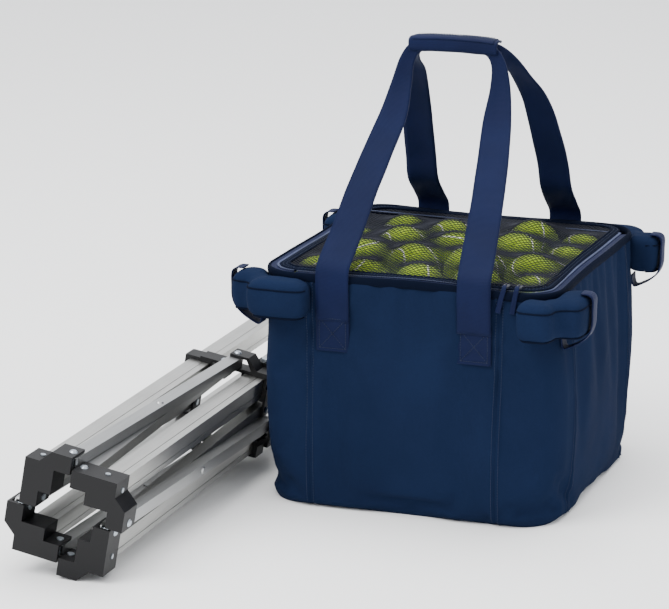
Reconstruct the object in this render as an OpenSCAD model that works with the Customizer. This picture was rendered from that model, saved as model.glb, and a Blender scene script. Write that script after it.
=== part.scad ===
// Ball-collection cart for tennis coaching: a square carrying bag full of balls and,
// lying beside it, the folded four-leg scissor frame that the bag hangs in.
// Millimetres, +Z up, origin at the centre of the bag's base. +X is the bag's right, +Y its back.

/* [Bag] */
// Width of the bag at the rim
rim_w = 352; // [320:2:380]
// Depth of the bag at the rim
rim_d = 358; // [320:2:380]
// Width of the bag at the base
base_w = 346; // [310:2:370]
// Depth of the bag at the base
base_d = 354; // [310:2:370]
// Height of the rim above the floor
bag_h = 280; // [270:2:300]
// Radius of the bag's upright corners
corner_r = 42; // [30:1:50]
// Thickness of the padded wall
wall_t = 3; // [2:0.5:4]
// Rise of the net lid over the heaped balls
lid_crown = 19; // [16:1:26]
// Width of the corner panel on each side of a corner
corner_panel_w = 62; // [56:1:70]

/* [Handles] */
// Width of the webbing straps
strap_w = 40; // [36:1:44]
// Distance of each strap's centre line from the middle of the bag
strap_x = 85; // [75:1:95]
// Height of the top of the carrying grip
grip_top = 535; // [500:5:560]
// Length of the hook-and-loop wrap round the grips
wrap_l = 108; // [96:2:120]

/* [Corner hoods] */
// How far a hood stands out from the wall
hood_out = 37; // [34:1:40]
// Length of a hood's longer arm along the wall, from the corner
hood_arm_long = 68; // [60:1:70]
// Length of a hood's shorter arm along the wall, from the corner
hood_arm_short = 38; // [34:1:44]
// Height of a hood
hood_h = 50; // [46:1:54]

/* [Frame] */
// Side of the square leg tube
leg_w = 25; // [22:1:28]
// Distance between leg centres when folded
leg_pitch = 72; // [70:1:76]
// Length of a leg tube
leg_len = 770; // [700:5:820]
// Distance from pivot to pivot along a scissor bar
bar_l = 443; // [420:1:460]
// Width of a scissor bar
bar_w = 15; // [13:0.5:15]
// Thickness of a scissor bar
bar_t = 13; // [11:0.5:13]
// Roll of the folded frame where it lies on the floor, in degrees
bundle_roll = 10.2; // [8:0.1:12]

/* [Casters] */
// Radius of a caster wheel
wheel_r = 24; // [20:1:24]
// Offset of the wheel's axle from the swivel axis
caster_trail = 10; // [8:0.5:10]

/* [Balls] */
// Diameter of a ball
ball_d = 65.6; // [65.4:0.1:65.8]

/* [Hidden] */
$fn = 48;
eps = 0.01;
inner_w = base_w - 2 * wall_t;
inner_d = base_d - 2 * wall_t;
seam_gap = 0.4;
lid_gap = 12;
lid_back_gap = 7;
rim_t = 3;
net_t = 1.2;

// Frame: the bundle's own axes are X across, Y from the top brackets to the casters, Z up.
leg_c = leg_pitch / 2;
leg_face = leg_c + leg_w / 2;
bracket_d = 34;
bracket_face = leg_face + 6.5;
bracket_in = leg_c - leg_w / 2 - 3.5;
top_pivot_y = 18;
pivot_x = bar_w / 2;
slider_y = top_pivot_y + sqrt(bar_l * bar_l - bar_w * bar_w);
bar_in_lo = leg_face - 10.2;
bar_gap = 0.8;
bar_in_hi = bar_in_lo + bar_t;
bar_out_lo = bar_in_hi + bar_gap;
bar_out_hi = bar_out_lo + bar_t;
plate_gap = 0.4;
plate_t = 3.2;
raised_face = bar_out_hi + plate_gap + plate_t;
raise_x = 25;
tip_x = 1;
pivot_r = 3;
run_gap = 0.05;
rivet_head_r = 4.6;
bundle_x = -274;
bundle_y = -513;
bundle_z = raised_face * cos(bundle_roll) + raise_x * sin(bundle_roll);
slide_gap = 0.3;
collar_t = 4;
collar_l = 24;
button_r = 5;
button_out = 3;
caster_turn = 44 + bundle_roll;
wheel_w = 16;
fork_t = 2.5;
fork_gap = 0.6;
axle_drop = 34;
stem_r = 6;

// Handles: free straps rise from the patches, lean over the lid and end in the two grips.
strap_t = 2.2;
patch_top = 232;
patch_bottom = 190;
strap_y = rim_d / 2 + 4.2;
bend_z = bag_h + 6;
grip_y = 5;
grip_z = grip_top - 14;
grip_h = 6;
grip_d = 7;
strap_top_w = 9;
grip_half = wrap_l / 2 + 1 + strap_top_w;
strap_end_x = grip_half - strap_top_w / 2;
lean = grip_z - bend_z;

// Each stop of a strap: centre x, distance from the middle in y, z, then its width, depth and height.
FRONT_STRAP = [
    [strap_x, strap_y, patch_top + 2, strap_w, strap_t, 2],
    [strap_x, strap_y, bend_z, strap_w, strap_t, 2],
    [strap_x * 0.73, strap_y * 0.19, bend_z + 0.66 * lean, strap_w * 0.85, 3, 3],
    [strap_end_x, strap_y * 0.045, bend_z + 0.82 * lean, strap_w * 0.4, 6, 6],
    [strap_end_x, grip_y, grip_z, strap_top_w, grip_d, grip_h]
];
BACK_STRAP = [
    [strap_x, strap_y, patch_top + 2, strap_w, strap_t, 2],
    [strap_x, strap_y, bend_z, strap_w, strap_t, 2],
    [strap_x, strap_y * 0.77, bend_z + 0.19 * lean, strap_w, 2.4, 2.4],
    [strap_x * 0.97, strap_y * 0.65, bend_z + 0.45 * lean, strap_w * 0.95, 2.6, 2.6],
    [strap_x * 0.87, strap_y * 0.46, bend_z + 0.69 * lean, strap_w * 0.8, 3, 3],
    [strap_end_x, strap_y * 0.2, bend_z + 0.91 * lean, strap_w * 0.26, 5, 5],
    [strap_end_x, grip_y, grip_z, strap_top_w, grip_d, grip_h]
];

// Heaped top balls, placed by hand; the lattice below leaves room for them.
TOP_BALLS = [
    [66, 111, 259], [130, 99, 250], [131, 28, 251], [66, 38, 260], [-28, 76, 260],
    [-2, 136, 250], [-71, 26, 260], [0, 8, 262], [-96, -41, 257], [-30, -58, 261],
    [38, -50, 261], [110, -42, 256], [65, -112, 254], [131, -110, 248], [-2, -122, 254],
    [-68, -121, 253], [-131, -103, 248], [-133, 49, 247], [-95, 105, 254]
];
ball_r = ball_d / 2;
ball_pitch_x = 69;
ball_pitch_y = 70.2;
layer_h = sqrt(ball_d * ball_d - pow(ball_pitch_x / 2, 2) - pow(ball_pitch_y / 2, 2)) + 0.2;
first_ball_z = 5.4 + ball_r;
LATTICE = [for (k = [0:4])
    let (n = k % 2 == 0 ? 4 : 5, half = (n - 1) / 2)
    for (i = [0:n - 1], j = [0:n - 1])
        [(i - half) * ball_pitch_x, (j - half) * ball_pitch_y, first_ball_z + k * layer_h]];
LOW_BALLS = [for (p = LATTICE)
    if (abs(p[0]) + abs(p[1]) < 270 && min([for (t = TOP_BALLS) norm(p - t)]) > ball_d + 0.2) p];

NAVY = [0.11, 0.16, 0.28];
WEBBING = [0.09, 0.14, 0.28];
NET = [0.08, 0.11, 0.2];
ALUMINIUM = [0.74, 0.74, 0.72];
MOULDED = [0.16, 0.17, 0.19];
ZINC = [0.7, 0.74, 0.78];

// ---------- outline helpers ----------

// A rounded rectangle, anticlockwise, with its four corner arcs.
function rounded_rect(w, d, r, steps = 8) = [
    for (c = [[1, -1, -90], [1, 1, 0], [-1, 1, 90], [-1, -1, 180]], k = [0:steps])
        let (a = c[2] + 90 * k / steps)
        [c[0] * (w / 2 - r) + r * cos(a), c[1] * (d / 2 - r) + r * sin(a)]];

// Corner panel outline at one level: straight, arc, straight, for the corner at angle a0.
function corner_line(w, d, r, seam, quarter, steps = 8) =
    let (
        sx = [1, 1, -1, -1][quarter],
        sy = [-1, 1, 1, -1][quarter],
        a0 = quarter * 90 - 90,
        turn_first = quarter % 2 == 0,
        first = turn_first ? [sx * (w / 2 - seam), sy * d / 2] : [sx * w / 2, sy * (d / 2 - seam)],
        last = turn_first ? [sx * w / 2, sy * (d / 2 - seam)] : [sx * (w / 2 - seam), sy * d / 2]
    )
    concat([first],
        [for (k = [0:steps])
            let (a = a0 + 90 * k / steps)
            [sx * (w / 2 - r) + r * cos(a), sy * (d / 2 - r) + r * sin(a)]],
        [last]);

function lift(points, z) = [for (p = points) [p[0], p[1], z]];

// A wall between two levels: outer line low and high, inner line low and high.
module wall(outer_low, outer_high, inner_low, inner_high) {
    n = len(outer_low);
    points = concat(outer_low, outer_high, inner_low, inner_high);
    faces = concat(
        [for (i = [0:n - 2]) [i, n + i, n + i + 1]],
        [for (i = [0:n - 2]) [i, n + i + 1, i + 1]],
        [for (i = [0:n - 2]) [2 * n + i, 3 * n + i + 1, 3 * n + i]],
        [for (i = [0:n - 2]) [2 * n + i, 2 * n + i + 1, 3 * n + i + 1]],
        [for (i = [0:n - 2]) [n + i, 3 * n + i, 3 * n + i + 1]],
        [for (i = [0:n - 2]) [n + i, 3 * n + i + 1, n + i + 1]],
        [for (i = [0:n - 2]) [i, 2 * n + i + 1, 2 * n + i]],
        [for (i = [0:n - 2]) [i, i + 1, 2 * n + i + 1]],
        [[0, 2 * n, 3 * n], [0, 3 * n, n]],
        [[n - 1, 2 * n - 1, 4 * n - 1], [n - 1, 4 * n - 1, 3 * n - 1]]);
    polyhedron(points, faces);
}

// Flat plate between y0 and y1 from an outline drawn in X and Z.
module along_y(y0, y1) {
    translate([0, y1, 0])
        rotate([90, 0, 0])
            linear_extrude(y1 - y0)
                children();
}

// ---------- bag ----------

// One flat wall panel; quarter 0 is the front, 1 the right, 2 the back, 3 the left.
module flat_panel(quarter) {
    across = quarter % 2 == 0;
    low_half = (across ? base_w : base_d) / 2 - corner_panel_w - seam_gap / 2;
    high_half = (across ? rim_w : rim_d) / 2 - corner_panel_w - seam_gap / 2;
    low_out = (across ? base_d : base_w) / 2;
    high_out = (across ? rim_d : rim_w) / 2;
    rotate([0, 0, 90 * quarter])
        wall(
            [[-low_half, -low_out, 0], [low_half, -low_out, 0]],
            [[-high_half, -high_out, bag_h], [high_half, -high_out, bag_h]],
            [[-low_half, wall_t - low_out, 0], [low_half, wall_t - low_out, 0]],
            [[-high_half, wall_t - high_out, bag_h], [high_half, wall_t - high_out, bag_h]]);
}

module bag_front_panel() { color(NAVY) flat_panel(0); }
module bag_right_panel() { color(NAVY) flat_panel(1); }
module bag_back_panel() { color(NAVY) flat_panel(2); }
module bag_left_panel() { color(NAVY) flat_panel(3); }

module bag_corner_panels() {
    inner_r = corner_r - wall_t;
    inner_seam = corner_panel_w - wall_t;
    color(NAVY)
        for (quarter = [0:3])
            wall(
                lift(corner_line(base_w, base_d, corner_r, corner_panel_w, quarter), 0),
                lift(corner_line(rim_w, rim_d, corner_r, corner_panel_w, quarter), bag_h),
                lift(corner_line(inner_w, inner_d, inner_r, inner_seam, quarter), 0),
                lift(
                    corner_line(rim_w - 2 * wall_t, rim_d - 2 * wall_t, inner_r, inner_seam, quarter),
                    bag_h));
}

// Fabric floor with its stiffener sewn in on top.
module bag_bottom_panel() {
    color(NAVY) {
        linear_extrude(2)
            polygon(rounded_rect(inner_w - seam_gap, inner_d - seam_gap, corner_r - wall_t));
        translate([0, 0, 1.9])
            linear_extrude(3.3)
                polygon(rounded_rect(inner_w - 4, inner_d - 4, corner_r - wall_t - 2));
    }
}

// Height of the net above the rim, zero along the border.
function dome(u, v) = lid_crown * pow((1 - pow(u, 6)) * (1 - pow(v, 6)), 0.5);

net_half_w = rim_w / 2 - lid_gap - 9;
net_half_d = (rim_d - lid_gap - lid_back_gap) / 2 - 9;
net_mid_y = (lid_gap - lid_back_gap) / 2;

module lid_net() {
    n = 14;
    grid = [for (j = [0:n], i = [0:n])
        let (u = sin(90 * (2 * i / n - 1)), v = sin(90 * (2 * j / n - 1)))
        [net_half_w * u * (1 - 0.05 * pow(v, 8)),
            net_mid_y + net_half_d * v * (1 - 0.05 * pow(u, 8)), dome(u, v)]];
    top = [for (p = grid) [p[0], p[1], bag_h - 0.6 + p[2]]];
    low = [for (p = grid) [p[0], p[1], bag_h - 0.6 - net_t + p[2]]];
    m = n + 1;
    k = m * m;
    cells = [for (j = [0:n - 1], i = [0:n - 1]) j * m + i];
    rim_loop = concat([for (i = [0:n]) i], [for (j = [1:n]) j * m + n],
        [for (i = [1:n]) n * m + n - i], [for (j = [1:n - 1]) (n - j) * m]);
    r = len(rim_loop);
    color(NET)
        polyhedron(concat(top, low), concat(
            [for (c = cells) [c, c + m, c + m + 1]],
            [for (c = cells) [c, c + m + 1, c + 1]],
            [for (c = cells) [k + c, k + c + m + 1, k + c + m]],
            [for (c = cells) [k + c, k + c + 1, k + c + m + 1]],
            [for (i = [0:r - 1]) [rim_loop[i], rim_loop[(i + 1) % r], k + rim_loop[(i + 1) % r]]],
            [for (i = [0:r - 1]) [rim_loop[i], k + rim_loop[(i + 1) % r], k + rim_loop[i]]]));
}

module lid_border() {
    border_d = rim_d - lid_gap - lid_back_gap;
    color(NAVY)
        translate([0, net_mid_y, bag_h - rim_t])
            linear_extrude(rim_t)
                difference() {
                    polygon(rounded_rect(rim_w - 2 * lid_gap, border_d, corner_r - lid_gap + 2));
                    polygon(rounded_rect(rim_w - 2 * lid_gap - 18, border_d - 18, corner_r - lid_gap - 6));
                }
}

// Sewn tape with its half of the zip, round the front and both sides.
module zip_tape() {
    tape_w = rim_w - 2 * wall_t - seam_gap;
    tape_d = rim_d - 2 * wall_t - seam_gap;
    color(WEBBING)
        translate([0, 0, bag_h - 2.5])
            linear_extrude(2.5)
                difference() {
                    polygon(rounded_rect(tape_w, tape_d, corner_r - wall_t));
                    translate([0, net_mid_y])
                        polygon(rounded_rect(rim_w - 2 * lid_gap + 2 * seam_gap,
                            rim_d - lid_gap - lid_back_gap + 2 * seam_gap,
                            corner_r - lid_gap + 2 + seam_gap));
                    translate([-rim_w / 2, rim_d / 2 - 40])
                        square([rim_w, 40]);
                }
}

// Zip slider astride the rim, drawn at the front, facing -Y.
module zip_slider() {
    color(ZINC)
        translate([-4, -rim_d / 2 - 2.4, bag_h + 0.3])
            cube([8, lid_gap + 1.6, 4.2]);
}

// Limp tape pull that hangs from a slider, outside the wall.
module zip_pull() {
    pull_h = 27.1;
    color(WEBBING)
        translate([0, -rim_d / 2 - 0.8, bag_h + 0.1 - pull_h / 2])
            rotate([90, 0, 0])
                linear_extrude(1.6)
                    polygon(rounded_rect(7, pull_h, 2));
}

module at_left_slider() {
    translate([119, 0, 0])
        children();
}

module at_right_slider() {
    translate([rim_w / 2 - corner_r, 0, 0])
        children();
}

module zip_slider_left() { at_left_slider() zip_slider(); }
module zip_slider_right() { at_right_slider() zip_slider(); }
module zip_pull_left() { at_left_slider() zip_pull(); }
module zip_pull_right() { at_right_slider() zip_pull(); }

// ---------- handles ----------

// One stop of a strap, as a block; side is -1 at the front and 1 at the back.
module strap_stop(stop, hand, side) {
    translate([hand * stop[0], side * stop[1], stop[2]])
        cube([stop[3], stop[4], stop[5]], center = true);
}

module handle(stops, side) {
    for (hand = [-1, 1], k = [0:len(stops) - 2])
        hull() {
            strap_stop(stops[k], hand, side);
            strap_stop(stops[k + 1], hand, side);
        }
    translate([-grip_half, side * grip_y - grip_d / 2, grip_z - grip_h / 2])
        cube([2 * grip_half, grip_d, grip_h]);
}

module front_handle() { color(WEBBING) handle(FRONT_STRAP, -1); }
module back_handle() { color(WEBBING) handle(BACK_STRAP, 1); }

module strap_patches() {
    color(WEBBING)
        for (s = [-1, 1], t = [-1, 1])
            translate([s * strap_x - strap_w / 2, t * (rim_d / 2 + 1.1) - 0.9, patch_bottom])
                cube([strap_w, 1.8, patch_top - patch_bottom]);
}

// Wrap round the front grip with its flap lying over and under the back grip.
module grip_wrap() {
    color(WEBBING)
        translate([-wrap_l / 2, 0, grip_z])
            rotate([90, 0, 90])
                linear_extrude(wrap_l)
                    difference() {
                        translate([-12, -9])
                            square([24, 19]);
                        translate([-9, -4])
                            square([22, 8]);
                    }
}

// ---------- corner hoods ----------

// Outline of one hood seen from above: corner of the bag at the origin, arms to -X and -Y.
module hood_outline(arm_x, arm_y, inset) {
    far = hood_out - inset;
    polygon([
        [inset - arm_x, -20], [inset - arm_x, far - 6], [inset - arm_x + 6, far], [4, far],
        [19 - inset, 19 - inset], [far, 4], [far, inset - arm_y + 6], [far - 6, inset - arm_y],
        [-20, inset - arm_y]]);
}

module bag_section(grow) {
    polygon(rounded_rect(rim_w + 2 * grow, rim_d + 2 * grow, corner_r + grow));
}

// Outline set on the corner at the given signs; the longer arm runs anticlockwise.
module hood_plan(sx, sy, inset) {
    along_x = sx * sy > 0;
    translate([sx * rim_w / 2, sy * rim_d / 2])
        scale([sx, sy])
            hood_outline(along_x ? hood_arm_long : hood_arm_short,
                along_x ? hood_arm_short : hood_arm_long, inset);
}

module one_hood(sx, sy) {
    translate([0, 0, bag_h - 4 - hood_h])
        difference() {
            linear_extrude(hood_h)
                difference() {
                    hood_plan(sx, sy, 0);
                    bag_section(seam_gap);
                }
            translate([0, 0, -eps])
                linear_extrude(hood_h - 5)
                    difference() {
                        hood_plan(sx, sy, 3.5);
                        bag_section(3.5);
                    }
        }
}

module corner_hoods() {
    color(NAVY)
        for (sx = [-1, 1], sy = [-1, 1])
            one_hood(sx, sy);
}

// Webbing loop down the outer face of each hood's side arm and back under it.
// Each point is a distance out from the wall and a height.
LOOP_IN = [
    [hood_out + 0.3, 272], [hood_out + 0.3, 225.6], [28, 221.3], [6, 211], [3.5, 225.5]];
LOOP_OUT = [
    [1.9, 225.5], [4.6, 208.6], [28.6, 219.6], [hood_out + 1.9, 224.2], [hood_out + 1.9, 272]];

module hood_loops() {
    color(WEBBING)
        for (sx = [-1, 1], sy = [-1, 1]) {
            arm_y = sx * sy > 0 ? hood_arm_short : hood_arm_long;
            translate([sx * rim_w / 2, sy * (rim_d - arm_y) / 2 + 9, 0])
                rotate([90, 0, 0])
                    linear_extrude(18)
                        polygon([for (p = concat(LOOP_IN, LOOP_OUT)) [sx * p[0], p[1]]]);
        }
}

module tennis_balls() {
    color([0.72, 0.82, 0.12])
        for (p = concat(LOW_BALLS, TOP_BALLS))
            translate(p)
                sphere(r = ball_r);
}

// ---------- frame ----------

// Corner 1 is the upper left one; the others follow clockwise, each turned a quarter more.
module at_corner(i) {
    translate([bundle_x, bundle_y, bundle_z])
        rotate([0, bundle_roll + 90 * (i - 1), 0])
            children();
}

// Mirrors an outline of the corner's upper side onto its left side.
module left_side() {
    mirror([1, 1])
        children();
}

// Places children at the foot of a leg, with the leg's axis as +Z pointing outwards.
module at_foot(i) {
    cx = [-1, 1, 1, -1][i - 1] * leg_c;
    cz = [1, 1, -1, -1][i - 1] * leg_c;
    translate([bundle_x, bundle_y, bundle_z])
        rotate([0, bundle_roll, 0])
            translate([cx, leg_len, cz])
                rotate([-90, 0, 0])
                    children();
}

module leg(i) {
    color(ALUMINIUM)
        at_corner(i)
            along_y(4, leg_len)
                translate([-leg_c, leg_c])
                    difference() {
                        square(leg_w, center = true);
                        square(leg_w - 3, center = true);
                        for (a = [0:90:270])
                            rotate(a)
                                translate([4, leg_w / 2 - 0.5])
                                    square([1.4, 1]);
                    }
    color(MOULDED)
        at_foot(i)
            difference() {
                translate([-leg_w / 2 + 1.5, -leg_w / 2 + 1.5, -24])
                    cube([leg_w - 3, leg_w - 3, 24]);
                translate([0, 0, -25])
                    cylinder(h = 30, r = stem_r + run_gap);
            }
}

// Two lugs of a raised arm, above and below the outer bar.
module raised_lugs(root) {
    polygon([[root, leg_face], [root, bracket_face], [-raise_x - 13, bracket_face], [-raise_x, raised_face],
        [-tip_x, raised_face], [-tip_x, raised_face - plate_t], [-raise_x + 2, raised_face - plate_t],
        [-raise_x - 9, leg_face]]);
    translate([root, leg_face])
        square([-root - tip_x, bar_out_lo - plate_gap - leg_face]);
}

// Two lugs of a flat arm, above and below the inner bar.
module flat_lugs(root) {
    lug = bar_in_hi + plate_gap;
    translate([root, lug])
        square([-root - tip_x, bracket_face - lug]);
    translate([-leg_c + leg_w / 2, bar_in_lo - plate_gap - plate_t])
        square([leg_c - leg_w / 2 - tip_x, plate_t]);
}

module bracket_front() {
    translate([-bracket_face, bracket_in])
        square(bracket_face - bracket_in);
    polygon([
        [-bracket_in - eps, leg_face], [-bracket_face + 8, leg_face], [-bracket_face + 8, bracket_face],
        [-raise_x - 13, bracket_face], [-raise_x, raised_face], [-tip_x, raised_face], [-tip_x, leg_face]]);
    left_side()
        translate([-bracket_in - eps, bar_in_lo - plate_gap - plate_t])
            square([bracket_in - tip_x, bracket_face - bar_in_lo + plate_gap + plate_t]);
}

module pivot_hole(r) {
    translate([-pivot_x, top_pivot_y, 0])
        cylinder(h = 200, r = r);
}

module on_left() {
    rotate([0, -90, 0])
        mirror([1, 0, 0])
            children();
}

module bracket_body() {
    along_y(0, 4)
        bracket_front();
    along_y(4 - eps, bracket_d)
        difference() {
            union() {
                translate([-bracket_face, bracket_in])
                    square(bracket_face - bracket_in);
                raised_lugs(-bracket_face + 8);
                left_side()
                    flat_lugs(-bracket_face + 8);
            }
            translate([-leg_c, leg_c])
                square(leg_w, center = true);
        }
}

module top_bracket(i) {
    color(MOULDED)
        at_corner(i)
            difference() {
                bracket_body();
                pivot_hole(pivot_r);
                on_left()
                    pivot_hole(pivot_r);
            }
}

// Rivet along Z with a head above z1 and a formed end below z0.
module rivet(z0, z1) {
    translate([0, 0, z0 - 1.5])
        cylinder(h = z1 - z0 + 3, r = pivot_r);
    translate([0, 0, z1])
        cylinder(h = 1.6, r1 = rivet_head_r, r2 = rivet_head_r - 1.4);
    translate([0, 0, z0 - 1.4])
        cylinder(h = 1.4, r = rivet_head_r - 0.6);
}

module bracket_rivets(i) {
    color(ZINC)
        at_corner(i) {
            translate([-pivot_x, top_pivot_y, 0])
                rivet(leg_face, raised_face);
            on_left()
                translate([-pivot_x, top_pivot_y, 0])
                    rivet(bar_in_lo - plate_gap - plate_t, bracket_face);
            translate([-leg_c - 6, top_pivot_y, bracket_face])
                cylinder(h = 1, r = 3);
            on_left()
                translate([-leg_c, top_pivot_y, bracket_face])
                    cylinder(h = 1, r = 3);
        }
}

// Sliding collar: flat arm on the upper side, raised arm on the left side.
module slider_section() {
    translate([-leg_c, leg_c])
        square(leg_w + 2 * slide_gap + 2 * collar_t, center = true);
    flat_lugs(-leg_c);
    left_side()
        raised_lugs(-leg_c - leg_w / 2 - collar_t);
}

module slider(i) {
    y0 = slider_y - 10;
    housing = leg_face + slide_gap + collar_t;
    color(MOULDED)
        at_corner(i)
            difference() {
                union() {
                    along_y(y0, y0 + collar_l)
                        slider_section();
                    along_y(y0 + collar_l - eps, y0 + collar_l + 18)
                        translate([-housing - 7, leg_c - 9])
                            square([11 - slide_gap, 18]);
                }
                along_y(y0 - 1, y0 + collar_l + 1)
                    translate([-leg_c, leg_c])
                        square(leg_w + 2 * slide_gap, center = true);
                translate([-pivot_x, slider_y, 0])
                    cylinder(h = 200, r = pivot_r);
                on_left()
                    translate([-pivot_x, slider_y, 0])
                        cylinder(h = 200, r = pivot_r);
                translate([-housing, y0 + collar_l + 9, leg_c])
                    rotate([0, -90, 0])
                        cylinder(h = 20, r = button_r + run_gap);
            }
}

module slider_rivets(i) {
    color(ZINC)
        at_corner(i) {
            translate([-pivot_x, slider_y, 0])
                rivet(bar_in_lo - plate_gap - plate_t, bracket_face);
            on_left()
                translate([-pivot_x, slider_y, 0])
                    rivet(leg_face, raised_face);
        }
}

// Sprung button in the slider's housing, pressed towards the leg.
module lock_button(i) {
    housing = leg_face + slide_gap + collar_t;
    color(ZINC)
        at_corner(i)
            translate([-housing - 7 - button_out, slider_y + collar_l - 1, leg_c])
                rotate([0, 90, 0]) {
                    cylinder(h = 7, r = button_r);
                    cylinder(h = 1.2, r1 = button_r - 0.8, r2 = button_r);
                }
}

// Tube bar from pivot a to pivot b in the XY plane, with round ends.
module bar(a, b, z0, mid_hole) {
    turn = atan2(b[1] - a[1], b[0] - a[0]);
    translate([a[0], a[1], z0])
        rotate([0, 0, turn])
            difference() {
                linear_extrude(bar_t)
                    difference() {
                        union() {
                            circle(d = bar_w);
                            translate([0, -bar_w / 2])
                                square([bar_l, bar_w]);
                            translate([bar_l, 0])
                                circle(d = bar_w);
                        }
                        circle(r = pivot_r + run_gap);
                        translate([bar_l, 0])
                            circle(r = pivot_r + run_gap);
                        translate([bar_l / 2, 0])
                            circle(r = mid_hole);
                    }
                translate([-bar_w, -bar_w / 2 + 1.5, 1.5])
                    cube([bar_l + 2 * bar_w, bar_w - 3, bar_t - 3]);
            }
}

// The outer bar carries the centre rivet that the inner bar turns on.
module outer_bar(i) {
    color(ALUMINIUM)
        at_corner(i)
            bar([-pivot_x, top_pivot_y], [pivot_x, slider_y], bar_out_lo, pivot_r);
    color(ZINC)
        at_corner(i)
            translate([0, (top_pivot_y + slider_y) / 2, 0])
                rivet(bar_in_lo, bar_out_hi);
}

module inner_bar(i) {
    color(ALUMINIUM)
        at_corner(i)
            bar([pivot_x, top_pivot_y], [-pivot_x, slider_y], bar_in_lo, pivot_r + run_gap);
}

// ---------- casters ----------

// Turns children so that a caster's trail, drawn towards +X, points at the floor.
module trailing(i) {
    at_foot(i)
        rotate([0, 0, 90 - caster_turn])
            children();
}

module caster_fork(i) {
    cheek = wheel_w / 2 + fork_gap;
    color(MOULDED)
        trailing(i) {
            translate([0, 0, 0.6])
                cylinder(h = 3, r = 14);
            translate([0, 0, -20])
                cylinder(h = 21, r = stem_r);
            difference() {
                for (s = [-1, 1])
                    translate([0, s * (cheek + fork_t / 2), 0])
                        rotate([90, 0, 0])
                            linear_extrude(fork_t, center = true)
                                polygon([[-9, 1], [10, 1], [caster_trail + 7, axle_drop - 4],
                                    [caster_trail + 5, axle_drop + 6], [caster_trail - 5, axle_drop + 6],
                                    [caster_trail - 7, axle_drop - 4]]);
                translate([caster_trail, 0, axle_drop])
                    rotate([90, 0, 0])
                        cylinder(h = 60, r = 3, center = true);
            }
            translate([caster_trail, 0, axle_drop])
                rotate([90, 0, 0])
                    cylinder(h = 2 * (cheek + fork_t) + 2, r = 3, center = true);
        }
}

module caster_wheel(i) {
    color("dimgray")
        trailing(i)
            translate([caster_trail, 0, axle_drop])
                rotate([90, 0, 0])
                    rotate_extrude($fn = 64)
                        polygon([[3 + run_gap, -wheel_w / 2], [9, -wheel_w / 2], [10, -wheel_w / 2 + 3],
                            [17, -wheel_w / 2 + 3], [18, -wheel_w / 2 + 1], [wheel_r - 2, -wheel_w / 2 + 1],
                            [wheel_r, -wheel_w / 2 + 4], [wheel_r, wheel_w / 2 - 4],
                            [wheel_r - 2, wheel_w / 2 - 1],
                            [18, wheel_w / 2 - 1], [17, wheel_w / 2 - 3], [10, wheel_w / 2 - 3],
                            [9, wheel_w / 2], [3 + run_gap, wheel_w / 2]]);
}

bag_front_panel();
bag_back_panel();
bag_left_panel();
bag_right_panel();
bag_corner_panels();
bag_bottom_panel();
lid_net();
lid_border();
zip_tape();
zip_slider_left();
zip_slider_right();
zip_pull_left();
zip_pull_right();
front_handle();
back_handle();
strap_patches();
grip_wrap();
corner_hoods();
hood_loops();
tennis_balls();
leg(1);  // leg_1
leg(2);  // leg_2
leg(3);  // leg_3
leg(4);  // leg_4
top_bracket(1);  // top_bracket_1
top_bracket(2);  // top_bracket_2
top_bracket(3);  // top_bracket_3
top_bracket(4);  // top_bracket_4
bracket_rivets(1);  // bracket_rivets_1
bracket_rivets(2);  // bracket_rivets_2
bracket_rivets(3);  // bracket_rivets_3
bracket_rivets(4);  // bracket_rivets_4
slider(1);  // slider_1
slider(2);  // slider_2
slider(3);  // slider_3
slider(4);  // slider_4
slider_rivets(1);  // slider_rivets_1
slider_rivets(2);  // slider_rivets_2
slider_rivets(3);  // slider_rivets_3
slider_rivets(4);  // slider_rivets_4
lock_button(1);  // lock_button_1
lock_button(2);  // lock_button_2
lock_button(3);  // lock_button_3
lock_button(4);  // lock_button_4
outer_bar(1);  // outer_bar_1
outer_bar(2);  // outer_bar_2
outer_bar(3);  // outer_bar_3
outer_bar(4);  // outer_bar_4
inner_bar(1);  // inner_bar_1
inner_bar(2);  // inner_bar_2
inner_bar(3);  // inner_bar_3
inner_bar(4);  // inner_bar_4
caster_fork(1);  // caster_fork_1
caster_fork(2);  // caster_fork_2
caster_fork(3);  // caster_fork_3
caster_fork(4);  // caster_fork_4
caster_wheel(1);  // caster_wheel_1
caster_wheel(2);  // caster_wheel_2
caster_wheel(3);  // caster_wheel_3
caster_wheel(4);  // caster_wheel_4
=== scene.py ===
import math

import bmesh
import bpy
import numpy as np
from mathutils import Matrix, Vector, noise
from mathutils.bvhtree import BVHTree


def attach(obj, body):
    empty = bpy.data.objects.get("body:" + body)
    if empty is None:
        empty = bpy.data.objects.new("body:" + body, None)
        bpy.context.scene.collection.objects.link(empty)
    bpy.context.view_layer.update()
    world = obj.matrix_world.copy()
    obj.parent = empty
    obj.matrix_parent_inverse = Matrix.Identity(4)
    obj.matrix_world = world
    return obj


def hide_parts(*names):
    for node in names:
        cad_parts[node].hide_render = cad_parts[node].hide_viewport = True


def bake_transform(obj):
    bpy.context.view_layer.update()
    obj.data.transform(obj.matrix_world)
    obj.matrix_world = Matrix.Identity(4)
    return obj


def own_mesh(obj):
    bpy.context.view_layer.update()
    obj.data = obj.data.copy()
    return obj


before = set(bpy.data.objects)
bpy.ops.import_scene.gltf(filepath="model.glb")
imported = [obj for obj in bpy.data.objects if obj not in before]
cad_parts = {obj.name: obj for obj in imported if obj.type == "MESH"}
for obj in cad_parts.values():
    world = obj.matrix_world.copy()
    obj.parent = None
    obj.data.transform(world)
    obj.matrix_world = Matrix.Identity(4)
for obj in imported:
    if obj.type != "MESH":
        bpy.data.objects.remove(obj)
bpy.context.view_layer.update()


MM = 0.001

# ---------------------------------------------------------------- sizes in millimetres, as in the CAD source

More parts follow.
